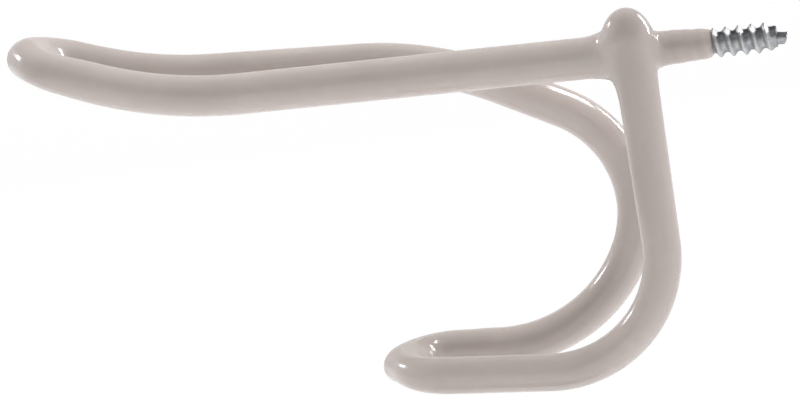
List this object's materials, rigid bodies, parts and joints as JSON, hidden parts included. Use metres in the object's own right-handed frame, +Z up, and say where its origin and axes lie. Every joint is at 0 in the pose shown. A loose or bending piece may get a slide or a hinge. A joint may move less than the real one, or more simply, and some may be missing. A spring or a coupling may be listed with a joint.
{
  "type": "coat and hat hook",
  "caption": "Screw-in hook bent from one wire: a long upturned hat arm over a coat hook, welded at the shank and dipped in glossy vinyl, with a bare wood-screw end.",
  "frame": {"origin": "on the screw's axis, where the vinyl coat ends: the plane of the wall that the hook is screwed to", "axes": "+X into the wall along the screw, the hook reaching out along -X; +Z up; the riser is on the -Y side"},
  "size_m": [0.1127, 0.0206, 0.0568],
  "materials": {
    "zinc_steel": "bright zinc plate, slightly bluish",
    "vinyl": "glossy dipped vinyl, warm light grey"
  },
  "bodies": {
    "root": {"steel_wire": "zinc_steel", "vinyl_coating": "vinyl"}
  },
  "joints": []
}
